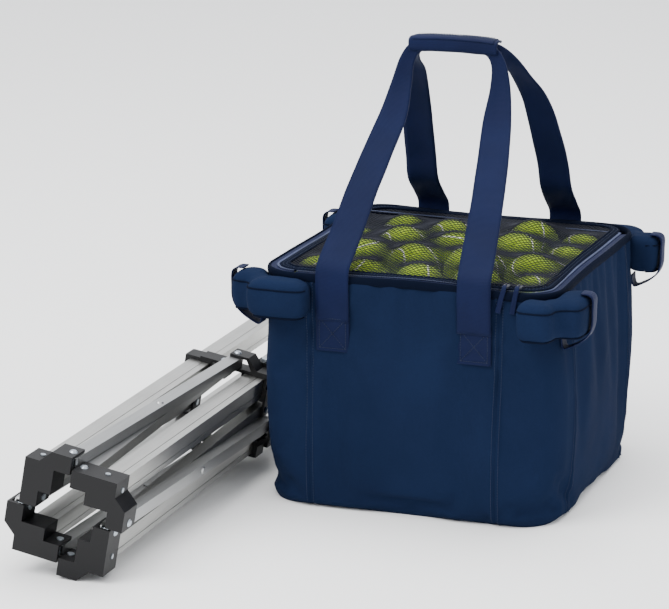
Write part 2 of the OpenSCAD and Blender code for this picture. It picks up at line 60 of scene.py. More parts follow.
RIM_W, RIM_D, BASE_W, BASE_D, BAG_H = 352.0, 358.0, 346.0, 354.0, 280.0
CORNER_R = 42.0
PANEL_W = 62.0
SWELL = [3.0, 6.5, 4.0, 3.0]
LID_GAP, LID_BACK_GAP = 12.0, 7.0
STRAP_X, STRAP_W = 85.0, 40.0
BALL_R = 32.8
TOP_BALLS = [
    (66, 111, 259), (130, 99, 250), (131, 28, 251), (66, 38, 260), (-28, 76, 260),
    (-2, 136, 250), (-71, 26, 260), (0, 8, 262), (-96, -41, 257), (-30, -58, 261),
    (38, -50, 261), (110, -42, 256), (65, -112, 254), (131, -110, 248), (-2, -122, 254),
    (-68, -121, 253), (-131, -103, 248), (-133, 49, 247), (-95, 105, 254),
]

# ---------------------------------------------------------------- camera

CAMERA_AT = (1.1366, -3.5076, 1.1744)
CAMERA_FORWARD = (-0.33306, 0.90816, -0.25359)
SENSOR_MM = 36.0
FOCAL_PX, PHOTO_PX = 3200.0, 669.0


def new_object(name, data):
    obj = bpy.data.objects.new(name, data)
    bpy.context.scene.collection.objects.link(obj)
    return obj


def aim(obj, place, forward):
    obj.location = place
    obj.rotation_euler = Vector(forward).to_track_quat("-Z", "Y").to_euler()


def make_camera():
    data = bpy.data.cameras.new("camera")
    data.sensor_width = SENSOR_MM
    data.lens = FOCAL_PX / PHOTO_PX * SENSOR_MM
    data.clip_end = 50.0
    obj = new_object("camera", data)
    aim(obj, CAMERA_AT, CAMERA_FORWARD)
    bpy.context.scene.camera = obj


make_camera()

# ---------------------------------------------------------------- materials


def srgb(r, g, b):
    def lin(c):
        c /= 255.0
        return c / 12.92 if c <= 0.04045 else ((c + 0.055) / 1.055) ** 2.4

    return (lin(r), lin(g), lin(b), 1.0)


class Mat:
    """A node material being put together."""

    def __init__(self, name):
        self.m = bpy.data.materials.new(name)
        self.m.use_nodes = True
        self.nt = self.m.node_tree
        self.bsdf = self.nt.nodes["Principled BSDF"]

    def node(self, kind, **sockets):
        n = self.nt.nodes.new(kind)
        for key, value in sockets.items():
            n.inputs[key].default_value = value
        return n

    def link(self, a, b):
        self.nt.links.new(a, b)

    def set(self, **values):
        for key, value in values.items():
            self.bsdf.inputs[key.replace("_", " ")].default_value = value

    def coords(self, kind="Object"):
        return self.node("ShaderNodeTexCoord").outputs[kind]

    def mapped(self, source, scale=(1, 1, 1), rotation=(0, 0, 0)):
        n = self.node("ShaderNodeMapping", Scale=scale, Rotation=rotation)
        self.link(source, n.inputs["Vector"])
        return n.outputs["Vector"]

    def noise(self, vector, scale, detail=3.0, rough=0.5):
        n = self.node("ShaderNodeTexNoise", Scale=scale, Detail=detail, Roughness=rough)
        self.link(vector, n.inputs["Vector"])
        return n.outputs["Fac"]

    def wave(self, vector, scale, direction):
        n = self.node("ShaderNodeTexWave", Scale=scale, Distortion=0.0)
        n.wave_type = "BANDS"
        n.bands_direction = direction
        n.wave_profile = "SIN"
        self.link(vector, n.inputs["Vector"])
        return n.outputs["Fac"]

    def math(self, op, a, b):
        n = self.node("ShaderNodeMath")
        n.operation = op
        for k, v in enumerate([a, b]):
            if isinstance(v, (int, float)):
                n.inputs[k].default_value = v
            else:
                self.link(v, n.inputs[k])
        return n.outputs[0]

    def ramp(self, fac, stops):
        n = self.node("ShaderNodeValToRGB")
        el = n.color_ramp.elements
        while len(el) < len(stops):
            el.new(0.5)
        for e, (pos, col) in zip(el, stops):
            e.position = pos
            e.color = col
        self.link(fac, n.inputs["Fac"])
        return n.outputs["Color"]

    def spread(self, fac, low, high):
        n = self.node("ShaderNodeMapRange")
        n.inputs["To Min"].default_value = low
        n.inputs["To Max"].default_value = high
        self.link(fac, n.inputs["Value"])
        return n.outputs["Result"]

    def bump(self, height, strength, distance, under=None):
        n = self.node("ShaderNodeBump", Strength=strength, Distance=distance)
        self.link(height, n.inputs["Height"])
        if under is not None:
            self.link(under, n.inputs["Normal"])
        return n.outputs["Normal"]

    def blend(self, a, share, b):
        """A weighted sum: share of a and the rest of b."""
        rest = self.math("MULTIPLY", b, round(1 - share, 4))
        return self.math("ADD", self.math("MULTIPLY", a, share), rest)

    def color(self, out):
        self.link(out, self.bsdf.inputs["Base Color"])

    def rough(self, out):
        self.link(out, self.bsdf.inputs["Roughness"])

    def normal(self, out):
        self.link(out, self.bsdf.inputs["Normal"])


def shade(c, k):
    return (c[0] * k, c[1] * k, c[2] * k, 1.0)


def bands(pitch_mm):
    """Scale of a wave texture whose bands repeat at the given pitch."""
    return 2 * math.pi / (pitch_mm * MM) / 20.0


def woven(name, base, thread_mm=0.9):
    """Plain-weave nylon cloth: crossed threads, faint shade drift and a soft sheen."""
    m = Mat(name)
    at = m.coords()
    turned = m.mapped(at, rotation=(0, 0, 0.6))
    up = m.wave(at, bands(thread_mm), "Z")
    across = m.math("MAXIMUM", m.wave(turned, bands(thread_mm), "X"), m.wave(turned, bands(thread_mm), "Y"))
    weave = m.math("MULTIPLY", across, up)
    drift = m.noise(at, 9.0, 4.0)
    fine = m.noise(at, 420.0, 2.0)
    tone = m.blend(drift, 0.75, fine)
    m.color(m.ramp(tone, [(0.3, shade(base, 0.88)), (0.5, base), (0.72, shade(base, 1.192))]))
    m.rough(m.spread(drift, 0.74, 0.9))
    lift = m.bump(weave, 0.35, 0.0003)
    m.normal(m.bump(m.noise(at, 60.0, 3.0), 0.12, 0.002, lift))
    m.set(Sheen_Weight=0.008, Sheen_Roughness=0.5, Specular_IOR_Level=0.015)
    m.bsdf.inputs["Sheen Tint"].default_value = (0.5, 0.6, 0.85, 1)
    return m.m


def webbing(name, base):
    """Ribbed polypropylene webbing; U runs across the strap and V along it, both in metres."""
    m = Mat(name)
    uv = m.coords("UV")
    weave = m.blend(m.wave(uv, bands(1.5), "Y"), 0.7, m.wave(uv, bands(1.5) * 1.6, "X"))
    both = m.blend(m.noise(m.coords(), 14.0, 3.0), 0.7, weave)
    m.color(m.ramp(both, [(0.25, shade(base, 0.78)), (0.5, base), (0.78, shade(base, 1.35))]))
    m.rough(m.spread(weave, 0.72, 0.55))
    m.normal(m.bump(weave, 0.5, 0.0004))
    m.set(Sheen_Weight=0.04, Sheen_Roughness=0.4, Specular_IOR_Level=0.08)
    m.bsdf.inputs["Sheen Tint"].default_value = (0.5, 0.6, 0.9, 1)
    return m.m


def knit(name, base):
    """Thread and netting: twisted filament with a dull shine."""
    m = Mat(name)
    at = m.coords()
    twist = m.noise(at, 1500.0, 1.0)
    m.color(m.ramp(twist, [(0.3, shade(base, 0.7)), (0.7, shade(base, 1.5))]))
    m.rough(m.spread(twist, 0.5, 0.75))
    m.normal(m.bump(twist, 0.3, 0.0002))
    m.set(Sheen_Weight=0.03, Specular_IOR_Level=0.2)
    return m.m


def felt(name):
    """Fuzzy optic-yellow felt."""
    m = Mat(name)
    at = m.coords()
    mixv = m.blend(m.noise(at, 900.0, 3.0, 0.7), 0.5, m.noise(at, 160.0, 4.0))
    m.color(m.ramp(mixv, [(0.3, srgb(88, 112, 0)), (0.5, srgb(134, 162, 8)), (0.7, srgb(172, 196, 32))]))
    m.set(Roughness=0.95, Sheen_Weight=0.15, Sheen_Roughness=0.6, Specular_IOR_Level=0.2)
    m.normal(m.bump(mixv, 0.6, 0.0012))
    return m.m


def aluminium(name, tint=(184, 184, 181), rough=(0.26, 0.4)):
    """Drawn and anodised tube: fine lines along Y, faint clouding, a few handling marks."""
    m = Mat(name)
    at = m.coords()
    drawn = m.noise(m.mapped(at, (1, 0.02, 1)), 900.0, 4.0, 0.6)
    cloud = m.noise(at, 16.0, 4.0)
    scuff = m.noise(m.mapped(at, (1, 0.3, 1), (0.4, 0.1, 0.3)), 140.0, 6.0, 0.75)
    base = srgb(*tint)
    tone = m.blend(drawn, 0.6, cloud)
    m.color(m.ramp(tone, [(0.3, shade(base, 0.82)), (0.5, base), (0.75, shade(base, 1.1))]))
    m.rough(m.spread(m.blend(scuff, 0.5, drawn), *rough))
    m.normal(m.bump(drawn, 0.12, 0.0002))
    m.set(Metallic=1.0)
    return m.m


def moulded(name, base=(6, 6, 8), rough=(0.38, 0.55), grain=1100.0):
    """Injection-moulded nylon: fine spark-eroded grain, slightly worn shine."""
    m = Mat(name)
    at = m.coords()
    fine = m.noise(at, grain, 2.0)
    cloud = m.noise(at, 30.0, 4.0)
    col = srgb(*base)
    m.color(m.ramp(cloud, [(0.35, shade(col, 0.8)), (0.65, shade(col, 1.25))]))
    m.rough(m.spread(cloud, *rough))
    m.normal(m.bump(fine, 0.25, 0.0002))
    m.set(Specular_IOR_Level=0.25)
    return m.m


def zinc(name):
    """Zinc plate with a faint spangle."""
    m = Mat(name)
    at = m.coords()
    spangle = m.noise(at, 260.0, 5.0, 0.7)
    col = srgb(186, 194, 202)
    m.color(m.ramp(spangle, [(0.35, shade(col, 0.7)), (0.65, col)]))
    m.rough(m.spread(spangle, 0.25, 0.5))
    m.normal(m.bump(spangle, 0.15, 0.0003))
    m.set(Metallic=1.0)
    return m.m


def rubber(name):
    """Dusty wheel rubber."""
    m = Mat(name)
    at = m.coords()
    fine = m.noise(at, 700.0, 3.0)
    dust = m.noise(at, 24.0, 5.0)
    m.color(m.ramp(dust, [(0.4, srgb(24, 24, 26)), (0.7, srgb(52, 51, 50))]))
    m.rough(m.spread(dust, 0.6, 0.85))
    m.normal(m.bump(fine, 0.3, 0.0004))
    return m.m


NAVY = srgb(18, 28, 50)
NAVY_WEB = srgb(11, 19, 48)
NAVY_DARK = srgb(9, 14, 28)
CLOTH = woven("nylon_cloth", NAVY)
CLOTH_SIDE = woven("nylon_binding", NAVY_DARK, thread_mm=0.7)
WEB = webbing("ribbed_webbing", NAVY_WEB)
NET = knit("net_filament", srgb(10, 14, 28))
THREAD = knit("stitch_thread", srgb(19, 29, 52))
FELT = felt("ball_felt")
SEAM_RUBBER = moulded("ball_seam", (208, 208, 198), (0.6, 0.8), 500.0)
TUBE = aluminium("anodised_tube")
BAR = aluminium("anodised_bar", (160, 161, 161), (0.3, 0.45))
NYLON = moulded("moulded_nylon")
ZINC = zinc("zinc_plate")
RUBBER = rubber("wheel_rubber")
ZIP_METAL = moulded("zip_enamel", (30, 33, 44), (0.25, 0.4), 700.0)
TEETH = moulded("zip_coil", (52, 60, 86), (0.3, 0.5), 900.0)

# ---------------------------------------------------------------- mesh helpers


def shade_smooth(mesh):
    mesh.polygons.foreach_set("use_smooth", [True] * len(mesh.polygons))


def add_mesh(name, verts, faces, material, uvs=None):
    """A smooth-shaded object from vertices in millimetres."""
    mesh = bpy.data.meshes.new(name)
    in_metres = [tuple(float(c) * MM for c in v) for v in verts]
    mesh.from_pydata(in_metres, [], [tuple(map(int, f)) for f in faces])
    mesh.validate()
    if uvs is not None:
        layer = mesh.uv_layers.new(name="UVMap")
        for loop in mesh.loops:
            layer.data[loop.index].uv = uvs[loop.vertex_index]
    shade_smooth(mesh)
    mesh.materials.append(material)
    mesh.update()
    return new_object(name, mesh)


def recalc(obj):
    """Turns every face outwards."""
    bm = bmesh.new()
    bm.from_mesh(obj.data)
    bmesh.ops.recalc_face_normals(bm, faces=bm.faces)
    bm.to_mesh(obj.data)
    bm.free()
    return obj


def modifier(obj, kind, **settings):
    m = obj.modifiers.new(kind.lower(), kind)
    for key, value in settings.items():
        setattr(m, key, value)
    return m


def place(obj, body, slot, nodes=()):
    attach(obj, body)
    if nodes:
        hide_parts(*nodes)
    return obj


def mesh_from(bm, name):
    mesh = bpy.data.meshes.new(name)
    bm.to_mesh(mesh)
    bm.free()
    return mesh


def discard(obj):
    mesh = obj.data
    bpy.data.objects.remove(obj)
    bpy.data.meshes.remove(mesh)


def join(name, objs):
    """One object from several, keeping their materials."""
    bm = bmesh.new()
    mats = []
    bm.loops.layers.uv.new("UVMap")
    for o in objs:
        start = len(bm.faces)
        bm.from_mesh(o.data)
        bm.faces.ensure_lookup_table()
        slots = []
        for mat in o.data.materials:
            if mat not in mats:
                mats.append(mat)
            slots.append(mats.index(mat))
        for face in bm.faces[start:]:
            face.material_index = slots[face.material_index]
        discard(o)
    mesh = mesh_from(bm, name)
    for mat in mats:
        mesh.materials.append(mat)
    return new_object(name, mesh)


def grid_faces(rows, cols, closed_cols=False, start=0):
    faces = []
    last = cols if closed_cols else cols - 1
    for i in range(rows - 1):
        for j in range(last):
            a = start + i * cols + j
            b = start + i * cols + (j + 1) % cols
            faces.append((a, b, b + cols, a + cols))
    return faces


def end_caps(rows, cols, start=0):
    """Faces that close both ends of a tube of rows rings with cols points each."""
    first, last = start, start + (rows - 1) * cols
    return [tuple(range(first + cols - 1, first - 1, -1)), tuple(range(last, last + cols))]


def join_ends(rows, cols):
    """Faces that run from a tube's last ring back to its first."""
    last = (rows - 1) * cols
    return [(last + k, last + (k + 1) % cols, (k + 1) % cols, k) for k in range(cols)]


def run_lengths(points):
    """Distance along a polyline at each of its points."""
    return np.concatenate([[0], np.cumsum(np.linalg.norm(np.diff(points, axis=0), axis=1))])


def along(line, lengths, at):
    return np.array([np.interp(at, lengths, line[:, k]) for k in range(3)])


def unit_rows(vectors):
    return vectors / np.linalg.norm(vectors, axis=1)[:, None]


def squared_circle(angle, power):
    """A point on a circle pressed towards a square."""
    c, s = math.cos(angle), math.sin(angle)
    return math.copysign(abs(c) ** power, c), math.copysign(abs(s) ** power, s)


def catmull(points, count):
    """count points on a smooth curve through the given ones, evenly spaced by length."""
    p = np.array(points, float)
    p = np.vstack([2 * p[0] - p[1], p, 2 * p[-1] - p[-2]])
    dense = []
    for i in range(1, len(p) - 2):
        for t in np.linspace(0, 1, 24, endpoint=False):
            a, b, c, d = p[i - 1], p[i], p[i + 1], p[i + 2]
            square, cube = 2 * a - 5 * b + 4 * c - d, 3 * b - a - 3 * c + d
            dense.append(0.5 * (2 * b + (c - a) * t + square * t**2 + cube * t**3))
    dense.append(p[-2])
    dense = np.array(dense)
    length = run_lengths(dense[:, :3])
    at = np.linspace(0, length[-1], count)
    return np.column_stack([np.interp(at, length, dense[:, k]) for k in range(dense.shape[1])]), length[-1]


def ribbon(name, stops, material, thickness=2.0, count=70, curl=0.0, sag=0.0, seed=0):
    """A webbing strap. Each stop is x, y, z, the width's direction x, y, z, and the width."""
    pts, length = catmull(stops, count)
    centre, side, width = pts[:, :3], pts[:, 3:6], pts[:, 6]
    tangent = unit_rows(np.gradient(centre, axis=0))
    side = unit_rows(side - (side * tangent).sum(1)[:, None] * tangent)
    normal = np.cross(side, tangent)
    cols = 9
    verts, uvs = [], []
    h = thickness / 2
    for k in range(count):
        v = length * k / (count - 1) * MM
        loop = [(a, h) for a in np.linspace(-1, 1, cols)] + [(a, -h) for a in np.linspace(1, -1, cols)]
        for a, hh in loop:
            round_off = 0.72 if abs(a) == 1 else 1.0
            wob = noise.noise(Vector((a * 0.7, k * 0.13, seed))) * sag
            bow = curl * (a * a - 0.4) * width[k] / 2 + wob
            verts.append(centre[k] + side[k] * a * width[k] / 2 + normal[k] * (hh * round_off + bow))
            uvs.append((a * width[k] / 2 * MM, v))
    faces = grid_faces(count, 2 * cols, closed_cols=True) + end_caps(count, 2 * cols)
    return recalc(add_mesh(name, verts, faces, material, uvs))


def tube(name, points, radius, material, sides=8, closed=False):
    """A round cord along the points."""
    p = np.array(points, float)
    tangent = unit_rows(np.roll(p, -1, 0) - np.roll(p, 1, 0) if closed else np.gradient(p, axis=0))
    verts = []
    ref = np.array([0.0, 0.0, 1.0]) if abs(tangent[0][2]) < 0.9 else np.array([1.0, 0.0, 0.0])
    for k in range(len(p)):
        u = np.cross(ref, tangent[k])
        if np.linalg.norm(u) < 0.2:
            u = np.cross(np.array([0.3, 1.0, 0.1]), tangent[k])
        u /= np.linalg.norm(u)
        w = np.cross(tangent[k], u)
        for s in range(sides):
            a = 2 * math.pi * s / sides
            verts.append(p[k] + radius * (math.cos(a) * u + math.sin(a) * w))
    ends = join_ends if closed else end_caps
    faces = grid_faces(len(p), sides, closed_cols=True) + ends(len(p), sides)
    return recalc(add_mesh(name, verts, faces, material))


def stitches(name, lines, normals, pitch=3.4, length=2.3, width=0.42):
    """Rows of raised thread along polylines; normals gives the cloth's outward direction per line."""
    verts, faces = [], []
    for line, normal in zip(lines, normals):
        line = np.array(line, float)
        cum = run_lengths(line)
        nrm = np.array(normal, float)
        nrm /= np.linalg.norm(nrm)
        for s in np.arange(pitch / 2, cum[-1], pitch):
            c = along(line, cum, s)
            t = along(line, cum, min(s + 1, cum[-1])) - along(line, cum, max(s - 1, 0))
            t /= np.linalg.norm(t)
            side = np.cross(nrm, t)
            start = len(verts)
            for a, r in [(-0.5, 0.25), (-0.3, 1), (0.3, 1), (0.5, 0.25)]:
                for du, dn in [(1, 0), (0, 1), (-1, 0), (0, -0.6)]:
                    verts.append(c + t * a * length + side * du * width * r + nrm * dn * width * r)
            faces += grid_faces(4, 4, closed_cols=True, start=start) + end_caps(4, 4, start)
    return recalc(add_mesh(name, verts, faces, THREAD))


# ---------------------------------------------------------------- bag outline


def flat_and_seam(side):
    """Half lengths of a side's flat stretch and of its panel between the upright seams."""
    half = (RIM_W if side % 2 == 0 else RIM_D) / 2
    return half - CORNER_R, half - PANEL_W


def quarter_turned(side, x, y):
    """A point drawn for the front, turned to the given side."""
    ca, sa = math.cos(side * math.pi / 2), math.sin(side * math.pi / 2)
    return x * ca - y * sa, x * sa + y * ca


def outline(steps_side, steps_arc, refine=True):
    """Stations round the bag: (kind, side, value), with seams at fixed stations."""
    out = []
    for side in range(4):
        half, seam = flat_and_seam(side)
        marks = set(np.round(np.linspace(-1, 1, steps_side + 1), 5))
        if refine:
            for s in (-1, 1):
                for d in (-7, -5.5, -4, -3, -2, -1, 0, 1, 2, 3, 4, 5.5, 7):
                    marks.add(round((s * seam + d) / half, 5))
        for v in sorted(marks):
            if v < 1:
                out.append(("flat", side, v))
        for k in range(steps_arc):
            out.append(("arc", side, k / steps_arc))
    return out


def station_point(station, z, grow=0.0):
    """Point on the wall and its outward direction, before any sag."""
    kind, side, value = station
    t = min(max(z / BAG_H, 0), 1)
    w = (BASE_W + (RIM_W - BASE_W) * t) / 2 + grow
    d = (BASE_D + (RIM_D - BASE_D) * t) / 2 + grow
    r = CORNER_R + grow
    half_along = (w if side % 2 == 0 else d) - r
    out_dist = d if side % 2 == 0 else w
    if kind == "flat":
        x, y = value * half_along, -out_dist
        nx, ny = 0.0, -1.0
    else:
        b = value * math.pi / 2
        x, y = half_along + r * math.sin(b), -(out_dist - r) - r * math.cos(b)
        nx, ny = math.sin(b), -math.cos(b)
    return quarter_turned(side, x, y), quarter_turned(side, nx, ny)


def rim_shift(x, y):
    """How far the soft rim strays from its drawn place, in millimetres."""
    a = math.atan2(y, x)
    up = -1.6 + 1.5 * math.sin(3 * a + 0.7) + 1.0 * math.sin(5 * a + 2.1)
    out = 1.2 * math.sin(2 * a + 0.4) + 0.9 * math.sin(6 * a + 1.0)
    return out, up


def rim_point(station, grow, z):
    (x, y), (nx, ny) = station_point(station, BAG_H, grow)
    out, up = rim_shift(x, y)
    return np.array([x + nx * out, y + ny * out, z + up])


def sweep(name, path, profile, material, closed=True):
    """Sweeps a profile of (outward, up) pairs along a path of points with outward directions."""
    points = np.array([c for c, _ in path])
    verts, uvs = [], []
    for (c, (nx, ny)), run in zip(path, run_lengths(points)):
        for k, (a, b) in enumerate(profile):
            verts.append(c + np.array([nx * a, ny * a, b]))
            uvs.append((k * 1.5 * MM, run * MM))
    size = (len(path), len(profile))
    faces = grid_faces(*size, closed_cols=True) + (join_ends if closed else end_caps)(*size)
    return recalc(add_mesh(name, verts, faces, material, uvs))


def ring(name, grow, z, profile, material, nodes=(), skip=None):
    """Sweeps a profile round the rim, less the stations that skip leaves out."""
    stations = [s for s in outline(60, 14, refine=False) if skip is None or not skip(s)]
    path = [(rim_point(s, grow, z), station_point(s, BAG_H, grow)[1]) for s in stations]
    return place(sweep(name, path, profile, material, closed=skip is None), "bag", "webbing", nodes)


def oval(a, b, count):
    angles = [2 * math.pi * k / count for k in range(count)]
    return [(a * math.cos(t), b * math.sin(t)) for t in angles]


# ---------------------------------------------------------------- bag shell, with a cloth simulation

WALL_MOVE_CAP = 8.0
SEAM_OFFSETS = (-4.0, 4.0)
BASE_RINGS = (0.985, 0.96, 0.9, 0.78, 0.6, 0.4, 0.2)


def bag_point(station, z):
    """Point on the sagging bag wall."""
    t = z / BAG_H
    (x, y), (nx, ny) = station_point(station, z)
    kind, side, value = station
    across = 1.0 if kind == "arc" else 1.0 - 0.25 * value * value
    belly = SWELL[side]
    if kind == "arc":
        belly += (SWELL[(side + 1) % 4] - belly) * value
    bulge = belly * across * math.sin(math.pi * min(1.0, t * 0.96 + 0.02)) ** 0.8
    out, up = rim_shift(x, y)
    fade = max(0.0, (t - 0.55) / 0.45) ** 2
    bulge += out * fade
    bulge -= 5.0 * math.exp(-z / 7.0)
    return np.array([x + nx * bulge, y + ny * bulge, z + up * fade])


def run_cloth(obj, frames, pressure, gravity, **settings):
    """Runs cloth under pressure from rest and returns the vertices it ends with, in metres."""
    cloth = obj.modifiers.new("cloth", "CLOTH")
    for key, value in settings.items():
        setattr(cloth.settings, key, value)
    cloth.settings.use_pressure = True
    cloth.settings.uniform_pressure_force = pressure
    cloth.settings.effector_weights.gravity = gravity
    cloth.collision_settings.use_collision = False
    cloth.point_cache.frame_start = 1
    cloth.point_cache.frame_end = frames
    for f in range(1, frames + 1):
        bpy.context.scene.frame_set(f)
    done = obj.evaluated_get(bpy.context.evaluated_depsgraph_get())
    verts = np.array([v.co[:] for v in done.data.vertices])
    bpy.context.scene.frame_set(1)
    return verts


def capped(move, cap):
    """Moves no longer than the cap, in their own directions."""
    size = np.linalg.norm(move, axis=-1, keepdims=True)
    return move * np.minimum(1.0, cap / np.maximum(size, 1e-9))


def simulate_wall():
    """Runs cloth on a coarse copy of the walls and returns how far each point moved."""
    stations = outline(26, 6, refine=False)
    heights = np.linspace(0, BAG_H, 29)
    n = len(stations)
    start = np.array([[bag_point(s, z) for s in stations] for z in heights])
    faces = grid_faces(len(heights), n, closed_cols=True)
    obj = add_mesh("wall_sim", start.reshape(-1, 3), faces, CLOTH)
    group = obj.vertex_groups.new(name="held")
    for i in range(len(heights)):
        for j, s in enumerate(stations):
            x, y, z = start[i, j]
            strap = abs(abs(x) - STRAP_X) < 18 and abs(y) > 165 and z > 188
            hood = abs(x) > 120 and abs(y) > 120 and z > 228
            if i in (0, len(heights) - 1) or strap:
                group.add([i * n + j], 1.0, "REPLACE")
            elif hood:
                group.add([i * n + j], 0.6, "REPLACE")
    done = run_cloth(
        obj, 26, pressure=1.6, gravity=0.6, quality=6, mass=0.35, tension_stiffness=18,
        compression_stiffness=18, shear_stiffness=8, bending_stiffness=1.6, vertex_group_mass="held",
        shrink_min=-0.028, shrink_max=-0.028)
    discard(obj)
    return stations, heights, capped(done.reshape(start.shape) / MM - start, WALL_MOVE_CAP)


def station_coordinate(station):
    """How far round the bag a station is, from 0 to 8."""
    kind, side, value = station
    return side * 2 + ((value + 1) / 2 if kind == "flat" else 1 + value)


def shell_point(station, z, push):
    """Point on the finished wall: sag, simulated push, the pinch of the seams and creases."""
    kind, side, value = station
    q = bag_point(station, z) + push
    nx, ny = station_point(station, z)[1]
    out = np.array([nx, ny, 0])
    if kind == "flat":
        half, seam = flat_and_seam(side)
        away = abs(abs(value) * half - seam)
        pinch = -1.3 * math.exp(-((away / 1.3) ** 2)) + 0.9 * math.exp(-(((away - 4.0) / 2.2) ** 2))
        q = q + out * pinch
        fan = noise.noise(Vector((q[0] * 0.02, q[1] * 0.02, q[2] * 0.09))) * math.exp(-away / 14.0)
        q = q + out * fan
    big = 1.3 * noise.noise(Vector((q[0] * 0.013, q[1] * 0.013, q[2] * 0.016 + 3.1)))
    small = 0.45 * noise.noise(Vector((q[0] * 0.045, q[1] * 0.045, q[2] * 0.05 + 9.7)))
    keep = min(1.0, (BAG_H - z) / 30.0) * min(1.0, z / 16.0)
    return q + out * (big + small) * keep


def seam_lines(stations, rows):
    """Two rows of stitches beside every upright seam, with their outward directions."""
    lines, normals = [], []
    for side in range(4):
        half, seam = flat_and_seam(side)
        flat = [j for j, s in enumerate(stations) if s[:2] == ("flat", side)]
        for sgn in (-1, 1):
            for off in SEAM_OFFSETS:
                want = (sgn * seam + off) / half
                j = min(flat, key=lambda j: abs(stations[j][2] - want))
                nx, ny = station_point(stations[j], 100)[1]
                lines.append(rows[3:-2, j] + np.array([nx, ny, 0]) * 0.15)
                normals.append((nx, ny, 0))
    return lines, normals


def build_bag_shell():
    """Builds the bag's walls and underside and returns the walls' rows of points."""
    sim_stations, sim_heights, move = simulate_wall()
    sim_at = np.array([station_coordinate(s) for s in sim_stations])
    order = np.argsort(sim_at)
    sim_at = np.concatenate([sim_at[order], [8.0]])
    move = np.concatenate([move[:, order], move[:, order][:, :1]], axis=1)
    stations = outline(44, 12)
    heights = [0, 1, 2.5, 4.5, 7, 10, *np.linspace(14, 262, 52), 266, 270, 274, 277, BAG_H - 1.5]
    fine_at = np.array([station_coordinate(s) for s in stations])
    rows = []
    for z in heights:
        i = np.interp(z, sim_heights, np.arange(len(sim_heights)))
        lo, hi = int(i), min(int(i) + 1, len(sim_heights) - 1)
        mv = move[lo] * (1 - (i - lo)) + move[hi] * (i - lo)
        push = np.column_stack([np.interp(fine_at, sim_at, mv[:, k]) for k in range(3)])
        rows.append([shell_point(s, z, p) for s, p in zip(stations, push)])
    verts = [p for row in rows for p in row]
    n = len(stations)
    faces = grid_faces(len(rows), n, closed_cols=True)
    # the underside, closed by shrinking rings
    base = np.array(rows[0])
    centre = base.mean(0)
    for k, f in enumerate(BASE_RINGS):
        start = len(verts)
        for p in base:
            q = centre + (p - centre) * f
            q[2] = 0.0 if k > 0 else 0.3
            verts.append(q)
        prev = 0 if k == 0 else start - n
        for j in range(n):
            faces.append((prev + (j + 1) % n, prev + j, start + j, start + (j + 1) % n))
    start = len(verts) - n
    verts.append(centre * np.array([1, 1, 0]))
    for j in range(n):
        faces.append((start + (j + 1) % n, start + j, len(verts) - 1))
    obj = recalc(add_mesh("bag_shell", verts, faces, CLOTH))
    modifier(obj, "SOLIDIFY", thickness=2.4 * MM, offset=-1.0)
    place(obj, "bag", "bag_fabric", (
        "bag_front_panel", "bag_back_panel", "bag_left_panel", "bag_right_panel", "bag_corner_panels",
        "bag_bottom_panel"))
    place(stitches("seam_stitching", *seam_lines(stations, np.array(rows))), "bag", "bag_fabric")
    return np.array(rows)


bag_rows = build_bag_shell()


def wall_at(x, z, side):
    """y of the outside of the front wall (side -1) or the back wall (side 1) at x and z."""
    pts = bag_rows.reshape(-1, 3)
    pts = pts[pts[:, 1] * side > 150]
    k = np.argsort((pts[:, 0] - x) ** 2 + (pts[:, 2] - z) ** 2)[:4]
    return float(pts[k, 1].mean())


# bound rim, zip tape and coil

BACK_CORNER_Y = 139.0
TEETH_IN = -9.6
TAPE = [(-14.0, -1.6), (-6.2, -0.8), (2.6, -0.6), (2.8, 0.0), (2.4, 0.4), (-6.0, 0.1), (-14.0, -1.0)]


def back_part(station):
    return station_point(station, BAG_H)[0][1] > BACK_CORNER_Y


ring("rim_binding", 0.6, BAG_H - 4.2, oval(2.6, 5.4, 14), CLOTH_SIDE)
ring("zip_tape_outer", -3.8, BAG_H - 0.9, TAPE, WEB, ("zip_tape",), skip=back_part)


def build_coil():
    """Interlocked zip teeth round the front and sides."""
    stations = [s for s in outline(150, 40, refine=False) if not back_part(s)]
    pts = np.array([rim_point(s, TEETH_IN, BAG_H + 0.3) for s in stations])
    side_dir = np.array([(*station_point(s, BAG_H, TEETH_IN)[1], 0.0) for s in stations])
    cum = run_lengths(pts)
    verts, faces = [], []
    for k, s in enumerate(np.arange(1, cum[-1] - 1, 1.45)):
        c = along(pts, cum, s)
        nrm = along(side_dir, cum, s)
        t = np.cross([0, 0, 1], nrm)
        sgn = 1 if k % 2 else -1
        start = len(verts)
        for a, r in [(-1.9, 0.5), (-0.9, 0.9), (0.7, 0.9), (1.3, 0.6)]:
            for du, dz in [(0.5, 0.0), (0.0, 0.75), (-0.5, 0.0), (0.0, -0.5)]:
                verts.append(c + nrm * a * sgn + t * du * r + np.array([0, 0, dz * r]))
        faces += grid_faces(4, 4, closed_cols=True, start=start) + end_caps(4, 4, start)
    place(recalc(add_mesh("zip_coil", verts, faces, TEETH)), "bag", "zinc")


build_coil()

# ---------------------------------------------------------------- net lid

NET_W = RIM_W / 2 - LID_GAP - 9
NET_D = (RIM_D - LID_GAP - LID_BACK_GAP) / 2 - 9
NET_Y = (LID_GAP - LID_BACK_GAP) / 2
NET_CELL = 4.4
NET_THREAD = 1.1
NET_CORNER_R = 24.0


